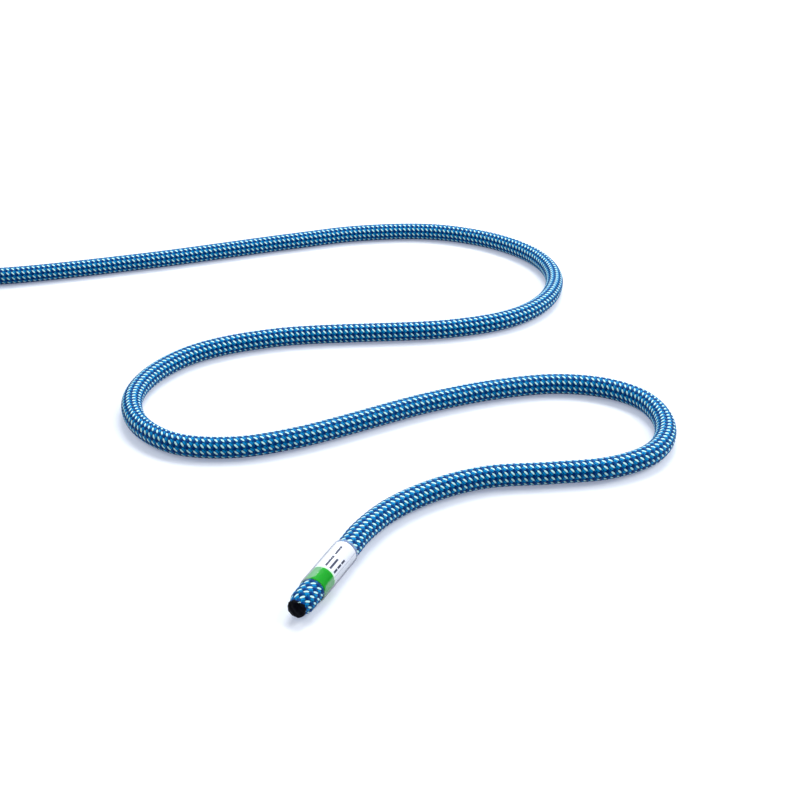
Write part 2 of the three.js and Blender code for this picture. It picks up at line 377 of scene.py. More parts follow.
@dataclass(frozen=True)
class SheathFinish:
    """Nylon yarns: a white and an azure one in each pair that runs one way, and two blues the other.

    The first four spans are where one colour turns into another, in shares of a yarn or of its
    height; the fourth is where painted shade in the grooves gives way to the yarns' colour. The
    last two go from the bottom of the grooves to the crown, and across a twisted filament.
    """

    weave: Weave
    white: Colour = srgb(207, 255, 255)
    azure: Colour = srgb(2, 136, 204)
    blue: Colour = srgb(0, 94, 166)
    navy: Colour = srgb(0, 40, 110)
    # Painted shade, for the bottom of the grooves between the yarns.
    groove_painted_shade: Colour = srgb(0, 4, 28)
    gloss: Colour = srgb(20, 170, 255)
    fleck_flank: Span = (0.55, 0.92)
    fleck_tail: Span = (0.46, 0.78)
    navy_fade: Span = (-0.42, -0.1)
    groove_painted_shade_fade: Span = (0.49, 0.79)
    blue_share: float = 0.45
    filaments: float = 5.0
    filament_slant: float = 9.0
    filament_depth: float = 0.035 * MM
    filament_roughness: float = 0.06
    roughness: Span = (0.62, 0.48)
    filament_shade: Span = (0.93, 1.05)

    def material(self, relief: Relief) -> bpy.types.Material:
        """The sheath's material, on the piece's own UV map.

        Args:
            relief: Whether the mesh has the yarns' shape, or the bump has to make it.

        Returns:
            The material.
        """
        recipe = Recipe(f"sheath_{relief.value}", Specular_IOR_Level=0.25, Specular_Tint=self.gloss)
        weave = self.weave
        u, v = recipe.surface_place("OFBake")
        forward = u * weave.tile_pitches
        row = (v - weave.row_phase / (2 * math.pi)) * weave.rows
        right, left = row - forward, row + forward
        right_row, left_row = recipe.maths("ROUND", right), recipe.maths("ROUND", left)
        inner_right, inner_left = right - right_row, left - left_row
        sign = 1 - recipe.maths("FLOORED_MODULO", right_row + left_row, 2.0) * 2

        def yarn(across: Value, run: Value, way: Value) -> tuple[Value, Value]:
            """Height of the yarns that run one way, and the place across one of them."""
            aside = (abs(across) - weave.yarn_offset) / weave.half_yarn
            rounded = recipe.maths("SQRT", recipe.maths("MAXIMUM", 1 - aside * aside, 0.0))
            crimp = recipe.maths("COSINE", run * math.pi) * way
            return rounded * weave.crown + crimp * weave.crimp, aside

        first, first_aside = yarn(inner_right, inner_left, sign)
        second, second_aside = yarn(inner_left, inner_right, sign * -1)
        upper = first > second
        highest = weave.crown + weave.crimp
        height = recipe.maths("MAXIMUM", first, second) / highest

        # A white yarn shows as a short fleck: its flanks and ends take the colour of those round it.
        flank = abs(first_aside).step(*self.fleck_flank)
        tail = abs(inner_left).step(*self.fleck_tail)
        fleck = (inner_right < 0) * (1 - flank) * (1 - tail)
        pair = recipe.mix(fleck, self.azure, self.white)
        other = recipe.mix(inner_right.step(*self.navy_fade), self.azure, self.navy)
        other = recipe.mix((inner_left > 0) * self.blue_share, other, self.blue)
        yarns = recipe.mix(upper, other, pair)

        # Painted shade darkens yarns low down, and twisted filaments show as fine slanting lines.
        aside = first_aside * upper + second_aside * (1 - upper)
        run = inner_left * upper + inner_right * (1 - upper)
        slant = (aside * self.filaments + run * self.filament_slant) * 2
        twist = recipe.wave(slant)
        colour = recipe.mix(height.step(*self.groove_painted_shade_fade), self.groove_painted_shade, yarns)
        raised = twist * self.filament_depth
        if relief is Relief.BUMPED:
            raised = raised + height * highest
        return recipe.drive(
            Base_Color=recipe.scaled(colour, twist.between(*self.filament_shade)),
            Roughness=height.between(*self.roughness) + twist * self.filament_roughness,
            Normal=recipe.bump(raised / MM, MM),
        )


@dataclass(frozen=True)
class MeltedFinish:
    """Black nylon where the rope was cut and sealed by heat.

    Its lumps are given by their scale and detail, and by where they start to look singed.
    """

    colour: Colour = srgb(0, 0, 5)
    singed: Colour = srgb(8, 8, 20)
    lumps: Span = (900, 4)
    singed_span: Span = (0.4, 0.75)
    roughness: Span = (0.35, 0.75)
    depth: float = 0.25 * MM

    def material(self) -> bpy.types.Material:
        """The melted end's material.

        Returns:
            The material.
        """
        recipe = Recipe("melted_nylon", Specular_IOR_Level=0.05)
        lumps = recipe.noise(*self.lumps)
        return recipe.drive(
            Base_Color=recipe.mix(lumps.step(*self.singed_span), self.colour, self.singed),
            Roughness=lumps.between(*self.roughness),
            Normal=recipe.bump(lumps, self.depth),
        )


@dataclass(frozen=True)
class LabelFinish:
    """White wrap with a green band next to the rope's end, and a few plain grey bars along it.

    Places are shares of the wrap's length from the rope's end, and of the way round it. A bar is
    given by its place round the wrap, its start and its end, and the speckle by scale and detail.
    """

    paper: Colour = srgb(240, 242, 252)
    green: Colour = srgb(0, 158, 24)
    pale_edge: Colour = srgb(214, 248, 214)
    ink: Colour = srgb(70, 72, 92)
    seam_shade: Colour = srgb(176, 180, 198)
    band: float = 0.325
    edge_inside: float = 0.022
    edge_outside: float = 0.004
    bars: tuple[Point, ...] = (
        (0.27, 0.36, 0.62), (0.27, 0.67, 0.88),
        (0.337, 0.35, 0.60),
        (0.41, 0.35, 0.45), (0.41, 0.47, 0.57), (0.41, 0.59, 0.69),
    )
    bar_width: float = 0.028
    seam: float = 0.462
    seam_width: float = 0.009
    speckle: Span = (1500, 3)
    speckle_shade: Span = (0.97, 1.03)
    roughness: Span = (0.35, 0.55)
    depth: float = 0.02 * MM

    def material(self) -> bpy.types.Material:
        """The label's material, on its own UV map: along the rope, and round it.

        Returns:
            The material.
        """
        recipe = Recipe("label_wrap", Specular_IOR_Level=0.03)
        along, around = recipe.surface_place("wrap")
        face = recipe.mix(along < self.band, self.paper, self.green)
        edge = (along > self.band - self.edge_inside) * (along < self.band + self.edge_outside)
        face = recipe.mix(edge, face, self.pale_edge)
        for middle, start, end in self.bars:
            bar = (abs(around - middle) < self.bar_width / 2) * (along > start) * (along < end)
            face = recipe.mix(bar, face, self.ink)
        seam = (abs(around - self.seam) < self.seam_width / 2) * (along > self.band)
        face = recipe.mix(seam, face, self.seam_shade)
        speckle = recipe.noise(*self.speckle)
        return recipe.drive(
            Base_Color=recipe.scaled(face, speckle.between(*self.speckle_shade)),
            Roughness=speckle.between(*self.roughness),
            Normal=recipe.bump(speckle, self.depth),
        )


@dataclass(frozen=True)
class FilmFinish:
    """Clear film: it shows what lies below; painted reflection makes it milky down its sides, and
    painted shade makes it grey at its rim.

    The first two spans are how far the film is turned away where its sides and its rim begin, and
    its ripples are given by their scale and detail.
    """

    # Painted reflection, which shows down the sides, then painted shade for the rim.
    painted_reflection: Colour = srgb(222, 226, 238)
    rim: Colour = srgb(104, 108, 130)
    face_alpha: float = 0.01
    side_alpha: float = 0.15
    rim_alpha: float = 0.55
    side_span: Span = (0.37, 0.46)
    rim_span: Span = (0.66, 0.82)
    ripples: Span = (260, 2)
    depth: float = 0.03 * MM

    def material(self) -> bpy.types.Material:
        """The clear sleeve's material.

        Returns:
            The material.
        """
        recipe = Recipe("clear_film", Roughness=0.08, IOR=1.45)
        facing = recipe.node("ShaderNodeLayerWeight", None, {"Blend": 0.5}).outputs["Facing"]
        turned = Value(recipe, facing)
        rim = turned.step(*self.rim_span)
        sides = turned.step(*self.side_span)
        # The grey at the rim is painted shade, and the extra opacity down the sides shows painted
        # reflection.
        return recipe.drive(
            Base_Color=recipe.mix(rim, self.painted_reflection, self.rim),
            Alpha=sides * self.side_alpha + rim * self.rim_alpha + self.face_alpha,
            Normal=recipe.bump(recipe.noise(*self.ripples), self.depth),
        )


@dataclass(frozen=True)
class CoreFinish:
    """Undyed nylon, with a fine grain that is given by its scale and detail."""

    lit: Colour = srgb(238, 236, 228)
    shaded: Colour = srgb(206, 203, 194)
    grain: Span = (1400, 3)
    roughness: Span = (0.5, 0.7)
    depth: float = 0.08 * MM

    def material(self) -> bpy.types.Material:
        """The core strands' material.

        Returns:
            The material.
        """
        recipe = Recipe("core_yarn", Sheen_Weight=0.3)
        grain = recipe.noise(*self.grain)
        return recipe.drive(
            Base_Color=recipe.mix(grain, self.shaded, self.lit),
            Roughness=grain.between(*self.roughness),
            Normal=recipe.bump(grain, self.depth),
        )


@dataclass(frozen=True)
class WebbingFinish:
    """Black woven strap: ribs across it, a selvedge along each edge, and soft loops all over.

    The loops' fuzz is given by its scale and detail.
    """

    colour: Colour = srgb(34, 36, 40)
    thread: Colour = srgb(58, 62, 68)
    rib: float = 0.9 * MM
    selvedge_thread: float = 0.45 * MM
    selvedge: float = 1.6 * MM
    fuzz: Span = (2600, 4)
    fuzz_share: float = 0.4
    roughness: Span = (0.95, 0.75)
    depth: float = 0.25 * MM

    def material(self) -> bpy.types.Material:
        """The strap's material, on its own UV map in metres: along the strap, and across it.

        Returns:
            The material.
        """
        recipe = Recipe("strap_webbing", Sheen_Weight=0.4)
        along, across = recipe.surface_place("strap")
        ribs = recipe.wave(along * (2 * math.pi / self.rib))
        threads = recipe.wave(across * (2 * math.pi / self.selvedge_thread))
        at_edge = abs(across) > TIE_WIDTH / 2 - self.selvedge
        fuzz = recipe.noise(*self.fuzz)
        woven = recipe.maths("MAXIMUM", ribs, threads * at_edge)
        raised = woven * (1 - self.fuzz_share) + fuzz * self.fuzz_share
        return recipe.drive(
            Base_Color=recipe.mix(raised, self.colour, self.thread),
            Roughness=fuzz.between(*self.roughness),
            Normal=recipe.bump(raised, self.depth),
        )


# ------------------------------------------------------------------ the rope's line


class RopeLine:
    """The rope's centre line as a fine polyline, with the way to its left and up at each place."""

    def __init__(self, points: np.ndarray) -> None:
        """Measures the line and its directions.

        Args:
            points: Places along it, one row each.
        """
        self.points = points
        steps = np.linalg.norm(np.diff(points, axis=0), axis=1)
        self.along = np.concatenate([[0.0], np.cumsum(steps)])
        slope = np.gradient(points, self.along, axis=0)
        self.tangents = slope / np.linalg.norm(slope, axis=1)[:, None]

    @property
    def length(self) -> float:
        """The line's whole length."""
        return float(self.along[-1])

    def reversed(self) -> "RopeLine":
        """The same line from its other end."""
        return RopeLine(self.points[::-1])

    def places(self, along: np.ndarray) -> np.ndarray:
        """Points on the line. Past an end, the line runs on straight.

        Args:
            along: Distances along the line.

        Returns:
            One row for each distance.
        """
        inside = np.clip(along, 0, self.length)
        found = np.stack([np.interp(inside, self.along, self.points[:, k]) for k in range(3)], 1)
        return found + (along - inside)[:, None] * self.directions(along)[0]

    def directions(self, along: np.ndarray) -> tuple[np.ndarray, np.ndarray, np.ndarray]:
        """The line's direction, its left and its up.

        Args:
            along: Distances along the line.

        Returns:
            Three arrays of unit vectors.
        """
        tangent = np.stack([np.interp(along, self.along, self.tangents[:, k]) for k in range(3)], 1)
        tangent /= np.linalg.norm(tangent, axis=1)[:, None]
        side = np.cross(UP, tangent)
        side /= np.linalg.norm(side, axis=1)[:, None]
        return tangent, side, np.cross(tangent, side)

    def around(self, along: np.ndarray, angle: np.ndarray, radius: np.ndarray) -> np.ndarray:
        """Points round the line.

        Args:
            along: Distances along it.
            angle: Angles round it, from 0 at the left to a quarter turn at the top.
            radius: Distances from it.

        Returns:
            One row for each point.
        """
        _, side, up = self.directions(along)
        out = np.cos(angle)[:, None] * side + np.sin(angle)[:, None] * up
        return self.places(along) + radius[:, None] * out

    def bend(self, obj: bpy.types.Object) -> None:
        """Lays a piece on the rope.

        Args:
            obj: A piece that was modelled along the X axis, where X is its distance along the rope.
        """
        points = vertices_of(obj)
        angle, radius = polar(points)
        write_vertices(obj, self.around(points[:, 0], angle, radius))


def vertices_of(obj: bpy.types.Object) -> np.ndarray:
    """A mesh object's vertices.

    Args:
        obj: The mesh object.

    Returns:
        One row for each vertex.
    """
    flat = np.empty(len(obj.data.vertices) * 3)
    obj.data.vertices.foreach_get("co", flat)
    return flat.reshape(-1, 3)


def write_vertices(obj: bpy.types.Object, points: np.ndarray) -> None:
    """Puts a mesh object's vertices at new places."""
    obj.data.vertices.foreach_set("co", points.astype(np.float32).ravel())
    obj.data.update()


def polar(points: np.ndarray) -> tuple[np.ndarray, np.ndarray]:
    """Angles round the X axis and distances from it."""
    return np.arctan2(points[:, 2], points[:, 1]), np.hypot(points[:, 1], points[:, 2])


def waves(angle: np.ndarray, kinds: tuple[Point, ...]) -> np.ndarray:
    """A sum of waves round a circle, each given by its height, its count and its start."""
    return sum(height * np.sin(count * angle + start) for height, count, start in kinds)


def through(points: np.ndarray) -> np.ndarray:
    """A centripetal Catmull-Rom curve, sampled alike between each two points.

    Args:
        points: Places that the curve goes through, one row each.

    Returns:
        One row for each sample.
    """
    ends = (2 * points[0] - points[1], 2 * points[-1] - points[-2])
    line = np.vstack([ends[0], points, ends[1]])
    found = []
    for first, second, third, fourth in zip(line, line[1:], line[2:], line[3:]):
        knots = [0.0]
        for before, after in ((first, second), (second, third), (third, fourth)):
            knots.append(knots[-1] + math.sqrt(np.linalg.norm(after - before)))
        k1, k2, k3 = knots[1:]
        t = np.linspace(k1, k2, SAMPLES_BETWEEN_POINTS, endpoint=False)[:, None]
        a1 = (k1 - t) / k1 * first + t / k1 * second
        a2 = (k2 - t) / (k2 - k1) * second + (t - k1) / (k2 - k1) * third
        a3 = (k3 - t) / (k3 - k2) * third + (t - k2) / (k3 - k2) * fourth
        b1 = (k2 - t) / k2 * a1 + t / k2 * a2
        b2 = (k3 - t) / (k3 - k1) * a2 + (t - k1) / (k3 - k1) * a3
        found.append((k2 - t) / (k2 - k1) * b1 + (t - k1) / (k2 - k1) * b2)
    return np.vstack([*found, points[-1:]])


def smooth(value: np.ndarray, low: float, high: float) -> np.ndarray:
    """A smooth step from 0 at low to 1 at high."""
    share = np.clip((value - low) / (high - low), 0, 1)
    return share * share * (3 - 2 * share)


class Winding:
    """The coil's turns: in and out again at a steady rate, a layer higher after each reversal."""

    def __init__(self, start: np.ndarray, heading: np.ndarray, length: float) -> None:
        """Sizes the coil so that the whole length is in its turns.

        Args:
            start: Where the coil's straight lead-in begins.
            heading: The level direction of the rope there.
            length: Rope from there to the coil's straight far end.
        """
        self.start = start
        self.turns = LAYERS * TURNS_PER_LAYER - 1 / STEPS_PER_TURN
        half_build = TURNS_PER_LAYER * TURN_PITCH / 2
        mean_radius = (length - 2 * LEAD) / (2 * math.pi * self.turns)
        self.outer_radius = mean_radius + half_build
        self.inner_radius = mean_radius - half_build
        to_centre = np.cross(UP, heading)
        self.centre = start + LEAD * heading + self.outer_radius * to_centre
        self.start_angle = math.atan2(-to_centre[1], -to_centre[0])

    def radius(self, turns: np.ndarray) -> np.ndarray:
        """Distance from the coil's axis.

        Args:
            turns: Turns from the coil's start.

        Returns:
            One distance for each.
        """
        phase = np.mod(turns, 2 * TURNS_PER_LAYER)
        inward = np.minimum(phase, 2 * TURNS_PER_LAYER - phase)
        step = 1 / STEPS_PER_TURN
        shift = END_SHIFT * smooth(turns, self.turns - 3 * step, self.turns - step)
        return self.outer_radius - TURN_PITCH * inward + shift

    def height(self, turns: np.ndarray) -> np.ndarray:
        """Height of the rope's centre: a layer is climbed in the half turn round each reversal.

        Args:
            turns: Turns from the coil's start.

        Returns:
            One height for each.
        """
        layer = np.zeros_like(turns)
        for reversal in range(TURNS_PER_LAYER, LAYERS * TURNS_PER_LAYER, TURNS_PER_LAYER):
            share = np.clip((turns - reversal) * 2 + 0.5, 0, 1)
            layer += (1 - np.cos(math.pi * share)) / 2
        return COIL_HEIGHT + layer * TURN_PITCH

    def line(self) -> np.ndarray:
        """The coil's whole centre line, with its straight ends.

        Returns:
            One row for each point.
        """
        turns = np.linspace(0, self.turns, int(self.turns * SAMPLES_PER_TURN))
        angle = self.start_angle + 2 * math.pi * turns
        outward = np.stack([np.cos(angle), np.sin(angle), np.zeros_like(angle)], 1)
        points = self.centre * ON_FLOOR + self.radius(turns)[:, None] * outward
        points[:, 2] = self.height(turns)
        onward = np.cross(UP, outward[-1])
        return np.vstack([self.start, points, points[-1] + LEAD * onward])


class Route:
    """The whole rope's line in the part's frame, and the places of the pieces along it."""

    def __init__(self) -> None:
        """Places the line by the first label and winds the coil with the length that is left."""
        heading = np.array([math.cos(END_HEADING), math.sin(END_HEADING), 0.0])
        tip = np.array([*END_POINT, SLEEVE_OUTER])
        middle = tip + (LABEL_FROM_END + LABEL_LENGTH / 2) * heading
        low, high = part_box("label_a")
        self.camera_foot = np.array((low + high) / 2) * ON_FLOOR - middle * ON_FLOOR

        stations = (SEAL_THICKNESS + BUTT_GAP, *END_STATIONS)
        points = [tip + distance * heading for distance in stations]
        points += [np.array([x, y, RUN_HEIGHT]) for x, y in LOOSE_POINTS]
        points += [np.array([x, y, COIL_HEIGHT]) for x, y in COIL_APPROACH]
        run = through(np.array(points))
        level = (run[-1] - run[-2]) * ON_FLOOR
        level /= np.linalg.norm(level)
        run_length = float(np.linalg.norm(np.diff(run, axis=0), axis=1).sum())
        self.coil_start = SEAL_THICKNESS + BUTT_GAP + run_length
        wound = ROPE_LENGTH - self.coil_start - 2 * BUTT_GAP - SEAL_THICKNESS
        self.winding = Winding(run[-1] + BUTT_GAP * level, level, wound)
        coil = self.winding.line()
        last = coil[-1] - coil[-2]
        far_tip = coil[-1] + (BUTT_GAP + SEAL_THICKNESS) * last / np.linalg.norm(last)
        self.line = RopeLine(np.vstack([tip, run, coil, far_tip]) + self.camera_foot)
        self.winding.centre = self.winding.centre + self.camera_foot
        self.back = self.line.reversed()


# ------------------------------------------------------------------ modelling helpers


class Bench:
    """Blender's modelling operators, on one piece at a time."""

    @staticmethod
    def clear() -> None:
        """Deselects everything."""
        if bpy.context.object and bpy.context.object.mode != "OBJECT":
            bpy.ops.object.mode_set(mode="OBJECT")
        bpy.ops.object.select_all(action="DESELECT")

    @staticmethod
    def named(name: str) -> bpy.types.Object:
        """Names the piece that was just added, with its mesh.

        Args:
            name: Its name.

        Returns:
            The piece.
        """
        piece = bpy.context.object
        piece.name = name
        piece.data.name = name
        return piece

    @staticmethod
    def take(piece: bpy.types.Object) -> None:
        """Makes one piece the only selected and active one."""
        Bench.clear()
        piece.select_set(True)
        bpy.context.view_layer.objects.active = piece

    @staticmethod
    def settle(piece: bpy.types.Object) -> None:
        """Writes the piece's place, turn and size into its mesh."""
        Bench.take(piece)
        bpy.ops.object.transform_apply(location=True, rotation=True, scale=True)

    @staticmethod
    def pick(piece: bpy.types.Object, wanted: Callable[[bpy.types.MeshPolygon], bool]) -> None:
        """Leaves the piece in edit mode with just the wanted faces selected.

        Args:
            piece: The mesh object.
            wanted: Tells whether a face is wanted.
        """
        Bench.take(piece)
        bpy.ops.object.mode_set(mode="EDIT")
        bpy.ops.mesh.select_mode(type="FACE")
        bpy.ops.mesh.select_all(action="DESELECT")
        bpy.ops.object.mode_set(mode="OBJECT")
        for face in piece.data.polygons:
            face.select = wanted(face)
        bpy.ops.object.mode_set(mode="EDIT")

    @staticmethod
    def finish(piece: bpy.types.Object, kind: str, **settings: Any) -> None:
        """Adds one modifier and applies it.

        Args:
            piece: The mesh object.
            kind: The modifier's type.
            settings: The modifier's own properties.
        """
        Bench.take(piece)
        modifier = piece.modifiers.new(kind.lower(), kind)
        for key, value in settings.items():
            setattr(modifier, key, value)
        bpy.ops.object.modifier_apply(modifier=modifier.name)

    @staticmethod
    def slice(piece: bpy.types.Object, places: list[float]) -> None:
        """Cuts new edges all round a piece.

        Args:
            piece: The mesh object.
            places: Where the cuts are along the X axis.
        """
        for place in places:
            Bench.pick(piece, lambda face: True)
            bpy.ops.mesh.bisect(plane_co=(place, 0, 0), plane_no=(1, 0, 0))
        bpy.ops.object.mode_set(mode="OBJECT")

    @staticmethod
    def smooth(piece: bpy.types.Object, angle: float) -> None:
        """Shades a piece smooth, apart from edges that turn by more than the angle."""
        Bench.take(piece)
        bpy.ops.object.shade_smooth_by_angle(angle=angle)

    @staticmethod
    def map_surface(
        piece: bpy.types.Object, layer: str, place: Callable[[np.ndarray], np.ndarray]
    ) -> None:
        """Writes a UV map whose numbers come from each corner's place.

        Args:
            piece: The mesh object.
            layer: The map's name.
            place: Gives two numbers for each point of an array.
        """
        found = piece.data.uv_layers.get(layer) or piece.data.uv_layers.new(name=layer)
        index = np.empty(len(piece.data.loops), np.int32)
        piece.data.loops.foreach_get("vertex_index", index)
        values = place(vertices_of(piece))[index]
        found.data.foreach_set("uv", values.astype(np.float32).ravel())


def stand(name: str, data: bpy.types.ID) -> bpy.types.Object:
    """Adds an object to the scene.

    Args:
        name: Its name.
        data: Its mesh, camera or light.

    Returns:
        The new object.
    """
    made = bpy.data.objects.new(name, data)
    bpy.context.scene.collection.objects.link(made)
    return made


def tube(
    name: str,
    line: RopeLine,
    stations: np.ndarray,
    sides: int,
    radius: Callable[[np.ndarray, np.ndarray], np.ndarray],
    weave: Weave,
) -> bpy.types.Object:
    """A closed tube along the rope, with normals that run on smoothly into the next piece.

    Args:
        name: The piece's name.
        line: The rope's line.
        stations: Distances along it, one for each ring.
        sides: Points in a ring.
        radius: Gives the surface's distance from the line for distances and angles.
        weave: Its tile sets the scale of the UV map.

    Returns:
        The new object.
    """
    count = len(stations)
    before, beyond = 2 * stations[0] - stations[1], 2 * stations[-1] - stations[-2]
    reach = np.concatenate([[before], stations, [beyond]])
    angles = np.arange(sides) * (2 * math.pi / sides)
    along, angle = (grid.ravel() for grid in np.meshgrid(reach, angles, indexing="ij"))
    grid = line.around(along, angle, radius(along, angle)).reshape(count + 2, sides, 3)
    lengthways = grid[2:] - grid[:-2]
    crossways = np.roll(grid, -1, axis=1)[1:-1] - np.roll(grid, 1, axis=1)[1:-1]
    normals = np.cross(crossways, lengthways)
    normals /= np.linalg.norm(normals, axis=2)[:, :, None]
    points = grid[1:-1].reshape(-1, 3)

    ring = np.arange(sides)
    after = np.roll(ring, -1)
    starts = (np.arange(count - 1) * sides)[:, None]
    quads = np.stack([starts + ring, starts + after, starts + sides + after, starts + sides + ring], 2)
    caps = np.concatenate([ring[::-1], (count - 1) * sides + ring])
    corners = np.concatenate([quads.ravel(), caps]).astype(np.int32)
    faces = (count - 1) * sides
    loop_start = np.concatenate([np.arange(faces) * 4, [faces * 4, faces * 4 + sides]])

    mesh = bpy.data.meshes.new(name)
    mesh.vertices.add(len(points))
    mesh.vertices.foreach_set("co", points.astype(np.float32).ravel())
    mesh.loops.add(len(corners))
    mesh.loops.foreach_set("vertex_index", corners)
    mesh.polygons.add(faces + 2)
    mesh.polygons.foreach_set("loop_start", loop_start.astype(np.int32))
    mesh.polygons.foreach_set("use_smooth", np.ones(faces + 2, bool))

    tile = weave.tile_pitches * weave.pitch
    u = np.repeat(stations[:, None] / tile, sides, 1)
    u_quads = np.stack([u[:-1], u[:-1], u[1:], u[1:]], 2)
    v_quads = np.broadcast_to(np.stack([ring, ring + 1, ring + 1, ring], 1) / sides, u_quads.shape)
    u_all = np.concatenate([u_quads.ravel(), u[0], u[-1]])
    v_all = np.concatenate([v_quads.ravel(), ring[::-1] / sides, ring / sides])
    uv = np.stack([u_all, v_all], 1)
    mesh.uv_layers.new(name="OFBake").data.foreach_set("uv", uv.astype(np.float32).ravel())
    mesh.update(calc_edges=True)
    mesh.normals_split_custom_set_from_vertices(normals.reshape(-1, 3).tolist())
    return stand(name, mesh)


def dress(piece: bpy.types.Object, material: bpy.types.Material, slot: str, *nodes: str) -> None:
    """Gives a piece its material and its place in the part.

    Args:
        piece: The finished piece.
        material: Its only material.
        slot: The record's material slot. Not used.
        nodes: The frame's nodes that it stands for.
    """
    piece.data.materials.clear()
    piece.data.materials.append(material)
    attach(piece, "root")
    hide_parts(*nodes)
    LOG.info("%s: %d faces, for %s", piece.name, len(piece.data.polygons), ", ".join(nodes))


# ------------------------------------------------------------------ the rope


@dataclass
class Sheath:
    """The braided sheath: the loose run in fine pieces, and the coil, a layer to a piece."""

    route: Route
    weave: Weave
    run_pieces: int = 4
    sides: int = 80
    rings_per_pitch: int = 8
    coil_sides: int = 20
    coil_step: float = 3 * MM
    hidden_in_seal: float = 0.4 * MM
    far_end_length: float = 80 * MM
    tip_share: float = 0.7
    tip_length: float = 6.5 * MM
    pressed_share: float = 0.4
    pressed_edge: float = 2 * MM
    coil_inset: float = 0.1 * MM

    def braided(self, along: np.ndarray, angle: np.ndarray) -> np.ndarray:
        """The surface's distance from the rope's line, with the yarns' shape.

        It narrows into the melted end, and its yarns lie flatter below the label.

        Args:
            along: Distances along the rope.
            angle: Angles round it.

        Returns:
            One distance for each place.
        """
        narrowed = self.tip_share + (1 - self.tip_share) * smooth(along, 0, self.tip_length)
        label_end = LABEL_FROM_END + LABEL_LENGTH
        below = smooth(along, LABEL_FROM_END - self.pressed_edge, LABEL_FROM_END)
        below *= 1 - smooth(along, label_end, label_end + self.pressed_edge)
        height = self.weave.height(along, angle) * (1 - self.pressed_share * below)
        return narrowed * (self.weave.groove_radius + height)

    def plain(self, along: np.ndarray, angle: np.ndarray) -> np.ndarray:
        """The distance where a bump shows the yarns."""
        return np.full_like(along, ROPE_RADIUS - self.coil_inset)

    def length(
        self, name: str, start: float, end: float, relief: Relief, line: Optional[RopeLine] = None
    ) -> tuple[bpy.types.Object, np.ndarray]:
        """One length of sheath.

        Args:
            name: The piece's name.
            start: Where it begins along the rope.
            end: Where it ends.
            relief: Whether its yarns are modelled.
            line: The rope's line, from its first end unless another is given.

        Returns:
            The piece and its ring centres.
        """
        line = line or self.route.line
        fine = relief is Relief.MODELLED
        step = self.weave.pitch / self.rings_per_pitch if fine else self.coil_step
        stations = np.linspace(start, end, max(2, round((end - start) / step) + 1))
        sides = self.sides if fine else self.coil_sides
        surface = self.braided if fine else self.plain
        return tube(name, line, stations, sides, surface, self.weave), line.places(stations)

    def build(self, ends: dict[str, list[bpy.types.Object]]) -> None:
        """Models every length.

        Args:
            ends: The pieces that sit on each end of the rope, by the end's letter. Not used.
        """
        modelled = SheathFinish(self.weave).material(Relief.MODELLED)
        bumped = SheathFinish(self.weave).material(Relief.BUMPED)
        cuts = np.linspace(self.hidden_in_seal, self.route.coil_start, self.run_pieces + 1)
        for index, (start, end) in enumerate(zip(cuts, cuts[1:])):
            piece, centres = self.length(f"sheath_run_{index + 1}", start, end, Relief.MODELLED)
            dress(piece, modelled, "rope_sheath", "sheath_free_run")
            end - start
        wound = self.route.line.length - self.route.coil_start - self.far_end_length
        for index in range(LAYERS):
            start = self.route.coil_start + wound * index / LAYERS
            end = self.route.coil_start + wound * (index + 1) / LAYERS
            piece, centres = self.length(f"sheath_coil_layer_{index + 1}", start, end, Relief.BUMPED)
            dress(piece, bumped, "rope_sheath", "coil")
            end - start
        piece, centres = self.length(
            "sheath_far_end", self.hidden_in_seal, self.far_end_length, Relief.MODELLED, self.route.back
        )
        dress(piece, modelled, "rope_sheath", "coil")


@dataclass
class Core:
    """The strands in the loose run's bore: one in the middle, and outer ones that wind round it."""

    route: Route
    outer_strands: int = 6
    strand_radius: float = 1.05 * MM
    orbit: float = 2.35 * MM
    lay_length: float = 60 * MM
    sides: int = 10
    step: float = 2.5 * MM

    def build(self) -> None:
        """Models the strands, from the middle one on."""
        material = CoreFinish().material()
        along = np.arange(SEAL_THICKNESS + BUTT_GAP, self.route.coil_start, self.step)
        for index in range(self.outer_strands + 1):
            orbit = 0.0 if index == 0 else self.orbit
            angle = 2 * math.pi * (index / self.outer_strands + along / self.lay_length)
            centres = self.route.line.around(along, angle, np.full_like(along, orbit))
            strand = RopeLine(centres)
            piece = tube(
                f"core_yarn_{index + 1}", strand, strand.along, self.sides,
                lambda places, _: np.full_like(places, self.strand_radius), Weave(),
            )
            dress(piece, material, "core_yarn", f"core_strand_{index + 1}")


